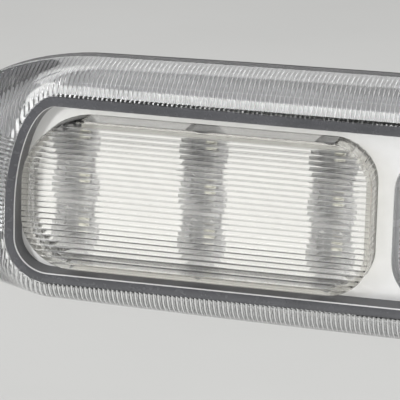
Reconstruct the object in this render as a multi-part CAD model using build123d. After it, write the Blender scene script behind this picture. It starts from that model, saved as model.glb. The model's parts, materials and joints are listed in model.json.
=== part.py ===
from build123d import *
import os

# Third brake light of a pickup cab, with two cargo lamps.
# X runs along the lamp, +Z is up and -Y is the side that faces away from the cab.
# The origin is the middle of the gasket's rear face, which seals on the cab.

# ---- driving dimensions (mm) ----
LENS_LENGTH = 411.0
LENS_HEIGHT = 80.6
WINDOW_LENGTH = 351.0
WINDOW_HEIGHT = 59.0
BAND_FACE = 3.0
BAND_DRAFT = 1.0
BAND_PROUD = 0.3
RECESS_DEPTH = 5.4

GASKET_T = 3.0
FLANGE_T = 3.0
SEAL_T = 1.0
SHOULDER_DEPTH = 21.0
RIM_DEPTH = 3.0
LENS_WALL = 2.5
COLLAR_W = 2.5
COLLAR_DROP = 2.0
OVERCUT = 1.0

CARGO_LENGTH = 108.2
CARGO_HEIGHT = 47.0
CARGO_CENTRE_X = 115.3
BRAKE_LENGTH = 109.4
CAP_PROUD = 3.5
CAP_WALL = 2.0
CAP_FRONT = 2.6
CAP_FLANGE_W = 2.0
CAP_FLANGE_T = 1.5
CAP_PLAY = 0.2
BEZEL_T = 2.0
SKIRT_T = 1.5
BEZEL_PLAY = 0.3
POST_PLAY = 0.6

WELL_COLUMNS = 3
WELL_ROWS = 3
WELL_PITCH_X = 40.0
WELL_PITCH_Z = 14.4
WELL_R_FRONT = 7.7
WELL_R_BACK = 6.6
WELL_WALL = 1.0
WELL_DEPTH = 9.0
REFLECTOR_T = 1.2
BOSS_R = 3.2
BOARD_T = 1.6
BOARD_SCREW_R = 1.2
BOARD_SCREW_HEAD_R = 2.4
BOARD_SCREW_HEAD_T = 1.8
BOARD_SCREW_LENGTH = 8.0
BOARD_HOLE_PLAY = 0.2
BOARD_PILOT_PLAY = 0.05
BOARD_INSET = 1.5
DRIVE_SLOT_LENGTH = 2.8
DRIVE_SLOT_W = 0.7
DRIVE_SLOT_DEPTH = 1.0
LED_SIZE = 3.5
LED_H = 1.0
LED_DOME_R = 1.4

BOWL_WALL = 1.5
BOWL_BACK_LENGTH = 92.0
BOWL_BACK_HEIGHT = 30.0
BOWL_BACK_Y = 4.0
BOWL_BACK_CORNER = 10.0
BOWL_HOLE_R = 9.0

TUB_LENGTH = 352.0
TUB_HEIGHT = 56.0
TUB_WALL = 2.5
TUB_CORNER = 14.0
TUB_REAR_Y = 18.5
FLANGE_INSET = 0.5
GASKET_INSET = 1.0
GASKET_GAP = 0.5
SUPPORT_R = 3.0
SUPPORT_REACH = 44.0
BOWL_SUPPORT_Z = 10.0
VENT_X = 72.0
VENT_R = 6.0
VENT_STEM_R = 3.0
VENT_BORE_R = 2.0
VENT_BORE_RISE = 1.0
VENT_H = 2.5

SOCKET_X = 26.0
SOCKET_R = 10.0
SOCKET_HOLE_R = 10.3
SOCKET_FLANGE_R = 14.5
SOCKET_FLANGE_T = 2.2
SOCKET_SEAL_T = 2.0
SOCKET_SEAL_R = 13.7
SOCKET_SEAL_PLAY = 0.05
LUG_R = 12.4
LUG_NOTCH_R = 12.9
LUG_WIDTH = 5.0
LUG_T = 2.2
LUG_COUNT = 3
LUG_LOCK_ANGLE = 45.0
LUG_PLAY = 0.1
NOTCH_PLAY = 1.2
SOCKET_FRONT_Y = 7.0
SOCKET_BACK_Y = 37.0
GRIP_LENGTH = 25.0
GRIP_T = 4.0
GRIP_SETBACK = 5.0
SHROUD_W = 15.0
SHROUD_H = 10.5
SHROUD_WALL = 1.5
SHROUD_DEPTH = 11.0
BASE_W = 11.2
BASE_T = 2.8
BASE_LENGTH = 7.5
BASE_PLAY = 0.3
BASE_END_GAP = 1.0
CONTACT_T = 0.6
CONTACT_W = 2.0
CONTACT_X = 3.5
CONTACT_PLAY = 0.05
CONTACT_INSET = 1.0
CONTACT_END_GAP = 3.0
BULB_R = 7.6
BULB_LENGTH = 24.0
BULB_GLASS = 0.8
BULB_PINCH = 2.0
FILAMENT_R = 0.5
FILAMENT_OVERHANG = 0.6
FILAMENT_REACH = 12.0
WIRE_R = 0.25
WIRE_X = 2.5

SCREW_X = 190.5
SCREW_R = 2.5
SCREW_SHANK_R = 2.2
THREAD_START_Y = 0.5
SCREW_TIP_R = 1.0
SCREW_TIP = 3.0
SCREW_HEAD_R = 4.6
SCREW_HEAD_T = 3.2
CROSS_LENGTH = 5.2
CROSS_W = 1.2
CROSS_DEPTH = 1.8
COUNTERBORE_R = 5.8
SCREW_SEAL_PLAY = 0.1
WASHER_T = 1.2
SEAT_DEPTH = 6.0
SCREW_REACH = 16.0
SCREW_HOLE_R = 2.8
POST_R = 7.0

CONNECTOR_W = 16.0
CONNECTOR_H = 11.0
CONNECTOR_RIM = 2.0
CONNECTOR_REACH = 2.0
CONNECTOR_WALL = 1.5
CONNECTOR_BACK_Y = 35.0
CONNECTOR_DEPTH = 12.5
LATCH_W = 5.0
LATCH_H = 1.6
LATCH_LENGTH = 4.0
LATCH_SETBACK = 2.0
PIN_W = 1.5
PIN_PITCH = 5.0
PIN_END_GAP = 3.0

LENS_MARGIN_X = (LENS_LENGTH - WINDOW_LENGTH) / 2
LENS_MARGIN_Z = (LENS_HEIGHT - WINDOW_HEIGHT) / 2

# ---- stations along Y, from the cab outwards ----
FLANGE_BACK_Y = -GASKET_T
FLANGE_FRONT_Y = FLANGE_BACK_Y - FLANGE_T
LENS_BACK_Y = FLANGE_FRONT_Y - SEAL_T
FACE_Y = LENS_BACK_Y - SHOULDER_DEPTH
FLOOR_Y = FACE_Y + RECESS_DEPTH
BEZEL_BACK_Y = FLOOR_Y + BEZEL_T
REFLECTOR_Y = BEZEL_BACK_Y + CAP_FLANGE_T
CAP_Y = FACE_Y - CAP_PROUD
BOARD_FRONT_Y = REFLECTOR_Y + REFLECTOR_T + WELL_DEPTH
BOARD_BACK_Y = BOARD_FRONT_Y + BOARD_T
TUB_INNER_Y = TUB_REAR_Y - TUB_WALL
SOCKET_FLANGE_Y = TUB_REAR_Y + SOCKET_SEAL_T
SOCKET_FLANGE_BACK_Y = SOCKET_FLANGE_Y + SOCKET_FLANGE_T
BULB_START_Y = SOCKET_FRONT_Y - 1.0
SCREW_SEAT_Y = LENS_BACK_Y - SEAT_DEPTH
LUG_BACK_Y = TUB_INNER_Y - LUG_PLAY
CONNECTOR_INNER_Y = TUB_INNER_Y - CONNECTOR_REACH

# ---- the lens's shoulder, from the window's edge back: depth, margin beyond the window at the
# ends, margin above and below it, and the two corner shapes ----
SHOULDER_ROWS = [
    (0.0, 0.6, 0.6, (17, 35), (15, 15)),
    (0.6, 2.6, 3.0, (19, 35), (17, 17)),
    (1.8, 4.4, 5.0, (22, 36), (19, 19)),
    (4.0, 6.4, 7.1, (27, 35), (20, 20)),
    (7.5, 8.8, 8.9, (32, 34), (21, 20)),
    (12.0, 17.0, 10.0, (44, 34), (26, 24)),
]

# The share of the margin above and below that is lost by the ends, along a gentle curve.
EDGE_BOW = 0.3

# ---- the bezel's skirt, in the same terms ----
SKIRT_ROWS = [
    (RECESS_DEPTH, COLLAR_W, COLLAR_W, (18, 39), (16, 16)),
    (RECESS_DEPTH + BEZEL_T, COLLAR_W, COLLAR_W, (18, 39), (16, 16)),
    (11.0, 5.0, 4.4, (24, 36), (22, 22)),
    (19.5, 20.0, 6.0, (60, 34), (50, 32)),
]

# ---- corner shapes, each as (half-width, half-height) of a quarter ellipse ----
WINDOW_TOP = (16.0, 37.0)
WINDOW_BOTTOM = (14.0, 14.0)
LENS_TOP = (54.0, 35.0)
LENS_BOTTOM = (34.0, 28.0)
CARGO_OUTER_TOP = (21.0, 21.0)
CARGO_OUTER_BOTTOM = (16.0, 16.0)
CARGO_INNER = (13.0, 13.0)
BRAKE_CORNER = (13.0, 13.0)


def station(y):
    """Sketch plane at depth y: its x is X and its y is Z."""
    return Plane(origin=(0, y, 0), x_dir=(1, 0, 0), z_dir=(0, -1, 0))


def outline(x0, x1, z0, z1, top_left, top_right, bottom_right, bottom_left):
    """Flat face with a quarter ellipse at each corner."""
    corners = [
        (x1 - top_right[0], z1 - top_right[1], top_right, 0),
        (x0 + top_left[0], z1 - top_left[1], top_left, 90),
        (x0 + bottom_left[0], z0 + bottom_left[1], bottom_left, 180),
        (x1 - bottom_right[0], z0 + bottom_right[1], bottom_right, 270),
    ]
    arcs = [
        EllipticalCenterArc((cx, cz), radii[0], radii[1], start, arc_size=90)
        for cx, cz, radii, start in corners
    ]
    edges = []
    for arc, following in zip(arcs, arcs[1:] + arcs[:1]):
        edges.append(arc)
        if (arc @ 1 - following @ 0).length > 1e-6:
            edges.append(Line(arc @ 1, following @ 0))
    return make_face(edges)


def even(length, height, top, bottom):
    """Outline that is the same at both ends and centred on the origin."""
    half_x, half_z = length / 2, height / 2
    return outline(-half_x, half_x, -half_z, half_z, top, top, bottom, bottom)


def bowed(length, height, top, bottom, bow):
    """Outline like even's, with top and bottom edges that curve in, by bow, towards the ends."""
    half_x, half_z = length / 2, height / 2
    top_x, bottom_x = half_x - top[0], half_x - bottom[0]
    top_z = half_z - top[1] - bow * (top_x / half_x) ** 2
    bottom_z = half_z - bottom[1] - bow * (bottom_x / half_x) ** 2
    right_top = EllipticalCenterArc((top_x, top_z), *top, 0, arc_size=90)
    left_top = EllipticalCenterArc((-top_x, top_z), *top, 90, arc_size=90)
    left_bottom = EllipticalCenterArc((-bottom_x, -bottom_z), *bottom, 180, arc_size=90)
    right_bottom = EllipticalCenterArc((bottom_x, -bottom_z), *bottom, 270, arc_size=90)
    edges = [
        right_top,
        ThreePointArc(right_top @ 1, (0, half_z), left_top @ 0),
        left_top,
        Line(left_top @ 1, left_bottom @ 0),
        left_bottom,
        ThreePointArc(left_bottom @ 1, (0, -half_z), right_bottom @ 0),
        right_bottom,
        Line(right_bottom @ 1, right_top @ 0),
    ]
    return make_face(edges)


def grown(corner, margin):
    return (corner[0] + margin, corner[1] + margin)


def window(margin):
    """The window's outline, grown by a margin all round."""
    return even(
        WINDOW_LENGTH + 2 * margin,
        WINDOW_HEIGHT + 2 * margin,
        grown(WINDOW_TOP, margin),
        grown(WINDOW_BOTTOM, margin),
    )


def slab(face, back_y, front_y):
    """Solid of a flat face from one depth forward to another."""
    return extrude(station(back_y) * face, amount=back_y - front_y)


def tapered(back_face, back_y, front_face, front_y):
    return loft([station(back_y) * back_face, station(front_y) * front_face], ruled=True)


def rod(x, z, radius, back_y, front_y):
    """Round bar along Y."""
    return slab(Pos(x, z) * Circle(radius), back_y, front_y)


def ring(x, z, outer, inner, back_y, front_y):
    return rod(x, z, outer, back_y, front_y) - rod(x, z, inner, back_y, front_y)


def joined(solids):
    total = solids[0]
    for solid in solids[1:]:
        total += solid
    return total


def save(shape, name):
    shape.label = name
    export_step(shape, f"parts/{name}.step")


def save_group(solids, name):
    save(Compound(children=list(solids)), name)


def cone(x, z, back_r, front_r, back_y, front_y):
    """Round taper along Y."""
    shape = Cone(back_r, front_r, back_y - front_y, align=(Align.CENTER, Align.CENTER, Align.MIN))
    return Pos(x, back_y, z) * Rot(90, 0, 0) * shape


def block(x, z, width, height, back_y, front_y):
    """Square bar along Y."""
    return slab(Pos(x, z) * Rectangle(width, height), back_y, front_y)


def mirrored(shape):
    return mirror(shape, about=Plane.YZ)


# ---- outer lens ----
def shoulder(depth, margin_x, margin_z, top, bottom, inset):
    """One section of the shoulder, a depth behind the window's face, brought in by an inset."""
    length = WINDOW_LENGTH + 2 * (margin_x - inset)
    height = WINDOW_HEIGHT + 2 * (margin_z - inset)
    return station(FACE_Y + depth) * bowed(length, height, top, bottom, EDGE_BOW * margin_z)


def rim(inset):
    """The lens's outline where it meets the housing, brought in by an inset."""
    length, height = LENS_LENGTH - 2 * inset, LENS_HEIGHT - 2 * inset
    return bowed(length, height, LENS_TOP, LENS_BOTTOM, EDGE_BOW * LENS_MARGIN_Z)


def dome(inset):
    """The lens's dome, or the hollow inside it when inset is its wall."""
    rows = [
        (depth + inset, margin_x, margin_z, top, bottom)
        for depth, margin_x, margin_z, top, bottom in SHOULDER_ROWS
        if depth + inset < SHOULDER_DEPTH - RIM_DEPTH
    ]
    for depth in (SHOULDER_DEPTH - RIM_DEPTH, SHOULDER_DEPTH):
        rows.append((depth, LENS_MARGIN_X, LENS_MARGIN_Z, LENS_TOP, LENS_BOTTOM))
    return loft([shoulder(*row, inset) for row in rows], ruled=True)


def skirt(inset):
    """The bezel's sloping skirt, or the hollow under it."""
    return loft([shoulder(*row, inset) for row in SKIRT_ROWS], ruled=True)


def make_outer_lens():
    lens = dome(0) - dome(LENS_WALL) - skirt(-BEZEL_PLAY)
    lens += slab(window(COLLAR_W), FLOOR_Y, FACE_Y + COLLAR_DROP)
    lens -= slab(window(0), LENS_BACK_Y, FACE_Y - OVERCUT)
    for side in (-1, 1):
        lens += dome(0) & rod(side * SCREW_X, 0, POST_R, LENS_BACK_Y, FACE_Y)
        lens -= rod(side * SCREW_X, 0, SCREW_HOLE_R, LENS_BACK_Y, FACE_Y)
        lens -= rod(side * SCREW_X, 0, COUNTERBORE_R, SCREW_SEAT_Y, FACE_Y)
    return lens


# ---- window: band, bezel and lens caps ----
def make_trim_band():
    body = slab(window(0), FLOOR_Y, FACE_Y - BAND_PROUD)
    opening = tapered(
        window(-BAND_FACE - BAND_DRAFT), FLOOR_Y, window(-BAND_FACE), FACE_Y - BAND_PROUD
    )
    return body - opening


def cargo(margin):
    """Outline of the left cargo lens, grown by a margin all round."""
    left = -CARGO_CENTRE_X - CARGO_LENGTH / 2 - margin
    right = -CARGO_CENTRE_X + CARGO_LENGTH / 2 + margin
    half_z = CARGO_HEIGHT / 2 + margin
    inner = grown(CARGO_INNER, margin)
    outer_top = grown(CARGO_OUTER_TOP, margin)
    outer_bottom = grown(CARGO_OUTER_BOTTOM, margin)
    return outline(left, right, -half_z, half_z, outer_top, inner, inner, outer_bottom)


def brake(margin):
    """Outline of the brake lens, grown by a margin all round."""
    corner = grown(BRAKE_CORNER, margin)
    return even(BRAKE_LENGTH + 2 * margin, CARGO_HEIGHT + 2 * margin, corner, corner)


def make_cap(shape):
    """Clear cap with a front plate, side walls and a flange behind the bezel."""
    body = slab(shape(0), BEZEL_BACK_Y, CAP_Y)
    flange = slab(shape(CAP_FLANGE_W), REFLECTOR_Y, BEZEL_BACK_Y)
    return body + flange - slab(shape(-CAP_WALL), REFLECTOR_Y, CAP_Y + CAP_FRONT)


def make_inner_bezel():
    hollow = skirt(SKIRT_T) - slab(window(COLLAR_W), BEZEL_BACK_Y, FLOOR_Y - OVERCUT)
    bezel = skirt(0) - hollow
    bezel -= slab(brake(CAP_PLAY), BEZEL_BACK_Y, FLOOR_Y)
    opening = slab(cargo(CAP_PLAY), BEZEL_BACK_Y, FLOOR_Y)
    bezel -= opening
    bezel -= mirrored(opening)
    for side in (-1, 1):
        bezel -= rod(side * SCREW_X, 0, POST_R + POST_PLAY, LENS_BACK_Y, FACE_Y)
    return bezel


# ---- cargo lamp, left side ----
def well_places():
    for column in range(WELL_COLUMNS):
        for row in range(WELL_ROWS):
            x = -CARGO_CENTRE_X + (column - (WELL_COLUMNS - 1) / 2) * WELL_PITCH_X
            z = (row - (WELL_ROWS - 1) / 2) * WELL_PITCH_Z
            yield x, z


def board_screw_places():
    """One screw between the inner columns, two beside the connector."""
    yield -CARGO_CENTRE_X + WELL_PITCH_X / 2, 0
    yield -CARGO_CENTRE_X - WELL_PITCH_X / 2, WELL_PITCH_Z
    yield -CARGO_CENTRE_X - WELL_PITCH_X / 2, -WELL_PITCH_Z


def connector_x():
    return -CARGO_CENTRE_X - WELL_PITCH_X / 2


def pin_places():
    return [connector_x() - PIN_PITCH / 2, connector_x() + PIN_PITCH / 2]


def make_cargo_reflector():
    plate_back = REFLECTOR_Y + REFLECTOR_T
    plate = slab(cargo(CAP_FLANGE_W), plate_back, REFLECTOR_Y)
    for x, z in well_places():
        plate += cone(
            x, z, WELL_R_BACK + WELL_WALL, WELL_R_FRONT + WELL_WALL, BOARD_FRONT_Y, REFLECTOR_Y
        )
    for x, z in board_screw_places():
        plate += rod(x, z, BOSS_R, BOARD_FRONT_Y, REFLECTOR_Y)
        plate -= rod(x, z, BOARD_SCREW_R + BOARD_PILOT_PLAY, BOARD_FRONT_Y, plate_back)
    for x, z in well_places():
        plate -= cone(x, z, WELL_R_BACK, WELL_R_FRONT, BOARD_FRONT_Y, REFLECTOR_Y)
    return plate


def make_cargo_board():
    board = slab(cargo(-BOARD_INSET), BOARD_BACK_Y, BOARD_FRONT_Y)
    for x, z in board_screw_places():
        board -= rod(x, z, BOARD_SCREW_R + BOARD_HOLE_PLAY, BOARD_BACK_Y, BOARD_FRONT_Y)
    for x in pin_places():
        board -= block(x, 0, PIN_W, PIN_W, BOARD_BACK_Y, BOARD_FRONT_Y)
    return board


def make_led(x, z):
    dome = Pos(x, BOARD_FRONT_Y - LED_H, z) * Sphere(LED_DOME_R)
    base = block(x, z, LED_SIZE, LED_SIZE, BOARD_FRONT_Y, BOARD_FRONT_Y - LED_H)
    return base + dome - block(x, z, LED_SIZE, LED_SIZE, BOARD_FRONT_Y + LED_DOME_R, BOARD_FRONT_Y)


def make_board_screw(x, z):
    head_back = BOARD_BACK_Y + BOARD_SCREW_HEAD_T
    head = rod(x, z, BOARD_SCREW_HEAD_R, head_back, BOARD_BACK_Y)
    slot = block(x, z, DRIVE_SLOT_LENGTH, DRIVE_SLOT_W, head_back, head_back - DRIVE_SLOT_DEPTH)
    return head + rod(x, z, BOARD_SCREW_R, BOARD_BACK_Y, BOARD_BACK_Y - BOARD_SCREW_LENGTH) - slot


def make_connector_shell():
    x = connector_x()
    rim_w, rim_h = CONNECTOR_W + 2 * CONNECTOR_RIM, CONNECTOR_H + 2 * CONNECTOR_RIM
    shell = block(x, 0, CONNECTOR_W, CONNECTOR_H, CONNECTOR_BACK_Y, CONNECTOR_INNER_Y)
    shell += block(x, 0, rim_w, rim_h, TUB_REAR_Y + CONNECTOR_RIM, TUB_REAR_Y)
    latch_back = CONNECTOR_BACK_Y - LATCH_SETBACK
    latch_z = (CONNECTOR_H + LATCH_H) / 2
    shell += block(x, latch_z, LATCH_W, LATCH_H, latch_back, latch_back - LATCH_LENGTH)
    mouth_w, mouth_h = CONNECTOR_W - 2 * CONNECTOR_WALL, CONNECTOR_H - 2 * CONNECTOR_WALL
    floor_y = CONNECTOR_BACK_Y - CONNECTOR_DEPTH
    shell -= block(x, 0, mouth_w, mouth_h, CONNECTOR_BACK_Y, floor_y)
    for pin_x in pin_places():
        shell -= block(pin_x, 0, PIN_W, PIN_W, floor_y, CONNECTOR_INNER_Y)
    return shell


def make_connector_pins():
    end_y = CONNECTOR_BACK_Y - PIN_END_GAP
    return [block(x, 0, PIN_W, PIN_W, end_y, BOARD_FRONT_Y) for x in pin_places()]


# ---- brake lamp ----
def bowl_back(margin):
    corner = (BOWL_BACK_CORNER + margin, BOWL_BACK_CORNER + margin)
    return even(BOWL_BACK_LENGTH + 2 * margin, BOWL_BACK_HEIGHT + 2 * margin, corner, corner)


def make_brake_reflector():
    bowl = tapered(bowl_back(BOWL_WALL), BOWL_BACK_Y, brake(-CAP_WALL + BOWL_WALL), REFLECTOR_Y)
    bowl += slab(brake(CAP_FLANGE_W), REFLECTOR_Y + BOWL_WALL, REFLECTOR_Y)
    bowl -= tapered(bowl_back(0), BOWL_BACK_Y, brake(-CAP_WALL), REFLECTOR_Y)
    bowl += slab(bowl_back(BOWL_WALL), BOWL_BACK_Y + BOWL_WALL, BOWL_BACK_Y)
    for side in (-1, 1):
        bowl -= rod(side * SOCKET_X, 0, BOWL_HOLE_R, BOWL_BACK_Y + BOWL_WALL, BOWL_BACK_Y)
    return bowl


def lugs(x, radius, width, back_y, front_y, turn):
    """Radial keys of a twist-lock socket, or the notches that let them through."""
    keys = []
    for index in range(LUG_COUNT):
        key = Pos(radius / 2, 0) * Rectangle(radius, width)
        angle = 90 + turn + index * 360 / LUG_COUNT
        keys.append(slab(Pos(x, 0) * (Rot(0, 0, angle) * key), back_y, front_y))
    return joined(keys)


def contact_slots(x, back_y, front_y):
    offset = (BASE_T + CONTACT_T) / 2 + CONTACT_PLAY
    return [
        block(x - CONTACT_X, offset, CONTACT_W, CONTACT_T, back_y, front_y),
        block(x + CONTACT_X, -offset, CONTACT_W, CONTACT_T, back_y, front_y),
    ]


def make_bulb_socket(x):
    socket = rod(x, 0, SOCKET_R, SOCKET_FLANGE_BACK_Y, SOCKET_FRONT_Y)
    socket += rod(x, 0, SOCKET_FLANGE_R, SOCKET_FLANGE_BACK_Y, SOCKET_FLANGE_Y)
    socket += block(x, 0, SHROUD_W, SHROUD_H, SOCKET_BACK_Y, SOCKET_FLANGE_Y)
    socket += block(x, 0, GRIP_LENGTH, GRIP_T, SOCKET_BACK_Y - GRIP_SETBACK, SOCKET_FLANGE_Y)
    key_ring = rod(x, 0, LUG_R, LUG_BACK_Y, LUG_BACK_Y - LUG_T)
    keys = lugs(x, LUG_R + OVERCUT, LUG_WIDTH, LUG_BACK_Y, LUG_BACK_Y - LUG_T, 0)
    socket += keys & key_ring
    mouth_w, mouth_h = SHROUD_W - 2 * SHROUD_WALL, SHROUD_H - 2 * SHROUD_WALL
    socket -= block(x, 0, mouth_w, mouth_h, SOCKET_BACK_Y, SOCKET_BACK_Y - SHROUD_DEPTH)
    pocket_w, pocket_h = BASE_W + 2 * BASE_PLAY, BASE_T + 2 * CONTACT_T + BASE_PLAY
    pocket_back = BULB_START_Y + BASE_LENGTH + BASE_END_GAP
    socket -= block(x, 0, pocket_w, pocket_h, pocket_back, SOCKET_FRONT_Y)
    for slot in contact_slots(x, SOCKET_BACK_Y - SHROUD_DEPTH, SOCKET_FRONT_Y):
        socket -= slot
    return socket


def make_socket_contacts(x):
    return contact_slots(x, SOCKET_BACK_Y - CONTACT_END_GAP, SOCKET_FRONT_Y + CONTACT_INSET)


def make_socket_seal(x):
    return ring(x, 0, SOCKET_SEAL_R, SOCKET_R + SOCKET_SEAL_PLAY, SOCKET_FLANGE_Y, TUB_REAR_Y)


def envelope(x, radius, start_y, end_y):
    """Round-ended glass tube."""
    centre_y = end_y + radius
    return rod(x, 0, radius, start_y, centre_y) + Pos(x, centre_y, 0) * Sphere(radius)


def make_bulb(x):
    end_y = BULB_START_Y - BULB_LENGTH
    glass = envelope(x, BULB_R, BULB_START_Y, end_y)
    glass -= envelope(x, BULB_R - BULB_GLASS, BULB_START_Y - BULB_PINCH, end_y + BULB_GLASS)
    return glass + block(x, 0, BASE_W, BASE_T, BULB_START_Y + BASE_LENGTH, BULB_START_Y)


def make_filament(x):
    start_y, tip_y = BULB_START_Y - BULB_PINCH, BULB_START_Y - FILAMENT_REACH
    wires = [rod(x + side * WIRE_X, 0, WIRE_R, start_y, tip_y) for side in (-1, 1)]
    coil = Pos(x, tip_y, 0) * Rot(0, 90, 0) * Cylinder(FILAMENT_R, 2 * (WIRE_X + FILAMENT_OVERHANG))
    return joined([coil] + wires)


# ---- rear housing and seals ----
def tub(margin):
    corner = (TUB_CORNER + margin, TUB_CORNER + margin)
    return even(TUB_LENGTH + 2 * margin, TUB_HEIGHT + 2 * margin, corner, corner)


def make_rear_housing():
    housing = slab(tub(0), TUB_REAR_Y, FLANGE_FRONT_Y)
    housing += slab(rim(FLANGE_INSET), FLANGE_BACK_Y, FLANGE_FRONT_Y)
    housing -= slab(tub(-TUB_WALL), TUB_INNER_Y, FLANGE_FRONT_Y)
    for side in (-1, 1):
        housing -= rod(side * SCREW_X, 0, SCREW_HOLE_R, FLANGE_BACK_Y, FLANGE_FRONT_Y)
        housing -= rod(side * SOCKET_X, 0, SOCKET_HOLE_R, TUB_REAR_Y, TUB_INNER_Y)
        notch_w = LUG_WIDTH + NOTCH_PLAY
        housing -= lugs(
            side * SOCKET_X, LUG_NOTCH_R, notch_w, TUB_REAR_Y, TUB_INNER_Y, -LUG_LOCK_ANGLE
        )
        housing -= block(side * connector_x(), 0, CONNECTOR_W, CONNECTOR_H, TUB_REAR_Y, TUB_INNER_Y)
        housing -= rod(side * VENT_X, 0, VENT_STEM_R, TUB_REAR_Y, TUB_INNER_Y)
        for end in (-SUPPORT_REACH, SUPPORT_REACH):
            for z in (-WELL_PITCH_Z, WELL_PITCH_Z):
                x = side * (CARGO_CENTRE_X + end)
                housing += rod(x, z, SUPPORT_R, TUB_INNER_Y, BOARD_BACK_Y)
        housing += rod(0, side * BOWL_SUPPORT_Z, SUPPORT_R, TUB_INNER_Y, BOWL_BACK_Y + BOWL_WALL)
    return housing


def make_mounting_gasket():
    gasket = slab(rim(GASKET_INSET), 0, FLANGE_BACK_Y) - slab(tub(GASKET_GAP), 0, FLANGE_BACK_Y)
    for side in (-1, 1):
        gasket -= rod(side * SCREW_X, 0, SCREW_HOLE_R, 0, FLANGE_BACK_Y)
    return gasket


def make_lens_seal():
    bead = slab(rim(FLANGE_INSET), FLANGE_FRONT_Y, LENS_BACK_Y)
    bead -= slab(rim(LENS_WALL), FLANGE_FRONT_Y, LENS_BACK_Y)
    pads = [
        ring(side * SCREW_X, 0, POST_R, SCREW_HOLE_R, FLANGE_FRONT_Y, LENS_BACK_Y) for side in (-1, 1)
    ]
    return [bead] + pads


def make_vent_plug(x):
    plug = rod(x, 0, VENT_R, TUB_REAR_Y + VENT_H, TUB_REAR_Y)
    plug += rod(x, 0, VENT_STEM_R, TUB_REAR_Y, TUB_INNER_Y)
    return plug - rod(x, 0, VENT_BORE_R, TUB_REAR_Y + VENT_BORE_RISE, TUB_INNER_Y)


def make_fixing_screw(x):
    head_front = SCREW_SEAT_Y - WASHER_T - SCREW_HEAD_T
    thread_end_y, cross_y = SCREW_REACH - SCREW_TIP, head_front + CROSS_DEPTH
    screw = rod(x, 0, SCREW_SHANK_R, THREAD_START_Y, SCREW_SEAT_Y - WASHER_T)
    screw += rod(x, 0, SCREW_R, thread_end_y, THREAD_START_Y)
    screw += cone(x, 0, SCREW_TIP_R, SCREW_R, SCREW_REACH, thread_end_y)
    screw += rod(x, 0, SCREW_HEAD_R, SCREW_SEAT_Y - WASHER_T, head_front)
    screw -= block(x, 0, CROSS_LENGTH, CROSS_W, cross_y, head_front)
    return screw - block(x, 0, CROSS_W, CROSS_LENGTH, cross_y, head_front)


def make_screw_seal(x):
    return ring(x, 0, SCREW_HEAD_R, SCREW_R + SCREW_SEAL_PLAY, SCREW_SEAT_Y, SCREW_SEAT_Y - WASHER_T)


# ---- the parts ----
os.makedirs("parts", exist_ok=True)

save(make_outer_lens(), "outer_lens")
save(make_trim_band(), "trim_band")
save(make_inner_bezel(), "inner_bezel")
save(make_cap(brake), "brake_lens")
save(make_brake_reflector(), "brake_reflector")
save(make_rear_housing(), "rear_housing")
save(make_mounting_gasket(), "mounting_gasket")
save_group(make_lens_seal(), "lens_seal")
save_group([make_vent_plug(side * VENT_X) for side in (-1, 1)], "vent_plugs")
save_group([make_fixing_screw(side * SCREW_X) for side in (-1, 1)], "fixing_screws")
save_group([make_screw_seal(side * SCREW_X) for side in (-1, 1)], "screw_seals")

cargo_parts = {
    "cargo_lens": [make_cap(cargo)],
    "cargo_reflector": [make_cargo_reflector()],
    "cargo_board": [make_cargo_board()],
    "cargo_leds": [make_led(x, z) for x, z in well_places()],
    "board_screws": [make_board_screw(x, z) for x, z in board_screw_places()],
    "connector_shell": [make_connector_shell()],
    "connector_pins": make_connector_pins(),
}
for name, solids in cargo_parts.items():
    save_group(solids, f"{name}_left")
    save_group([mirrored(solid) for solid in solids], f"{name}_right")

for side, sign in (("left", -1), ("right", 1)):
    x = sign * SOCKET_X
    save(make_bulb_socket(x), f"bulb_socket_{side}")
    save_group(make_socket_contacts(x), f"socket_contacts_{side}")
    save(make_socket_seal(x), f"socket_seal_{side}")
    save(make_bulb(x), f"bulb_{side}")
    save(make_filament(x), f"filament_{side}")
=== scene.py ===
import json
import math
import bmesh
import bpy
import numpy as np
from mathutils import Matrix, Vector


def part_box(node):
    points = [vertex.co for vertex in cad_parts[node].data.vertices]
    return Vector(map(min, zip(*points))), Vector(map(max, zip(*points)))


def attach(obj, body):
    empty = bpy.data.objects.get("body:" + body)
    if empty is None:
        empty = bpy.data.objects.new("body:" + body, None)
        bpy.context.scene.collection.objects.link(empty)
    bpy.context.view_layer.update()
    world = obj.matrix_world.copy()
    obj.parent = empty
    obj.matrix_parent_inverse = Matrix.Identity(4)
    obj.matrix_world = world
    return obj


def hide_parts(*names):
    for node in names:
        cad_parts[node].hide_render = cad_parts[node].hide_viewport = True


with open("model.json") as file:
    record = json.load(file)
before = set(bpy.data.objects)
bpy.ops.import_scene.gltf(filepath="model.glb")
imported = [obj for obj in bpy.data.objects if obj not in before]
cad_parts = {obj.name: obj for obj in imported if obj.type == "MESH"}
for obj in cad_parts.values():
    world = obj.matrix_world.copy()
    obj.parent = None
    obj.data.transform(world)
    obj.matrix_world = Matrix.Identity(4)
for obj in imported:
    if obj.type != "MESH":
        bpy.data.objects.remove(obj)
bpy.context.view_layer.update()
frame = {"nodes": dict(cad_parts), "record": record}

# Third brake light of a pickup cab. X runs along the lamp, +Z is up, -Y faces away from the cab.
MM = 0.001

# ---- places, from the frame ----
LENS_LOW, LENS_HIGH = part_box("outer_lens")
BAND_LOW, BAND_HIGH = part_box("trim_band")
CARGO_LOW, CARGO_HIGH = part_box("cargo_lens_left")
BRAKE_LOW, BRAKE_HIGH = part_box("brake_lens")
WELLS_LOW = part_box("cargo_reflector_left")[0]
LEDS_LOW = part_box("cargo_leds_left")[0]
SEALS_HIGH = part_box("screw_seals")[1]
WINDOW_X, WINDOW_Z = BAND_HIGH.x, BAND_HIGH.z
FACE_Y = LENS_LOW.y
FLOOR_Y = BAND_HIGH.y
LENS_BACK_Y = LENS_HIGH.y
SCREW_SEAT_Y = SEALS_HIGH.y
SCREW_X = SEALS_HIGH.x - SEALS_HIGH.z

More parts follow.
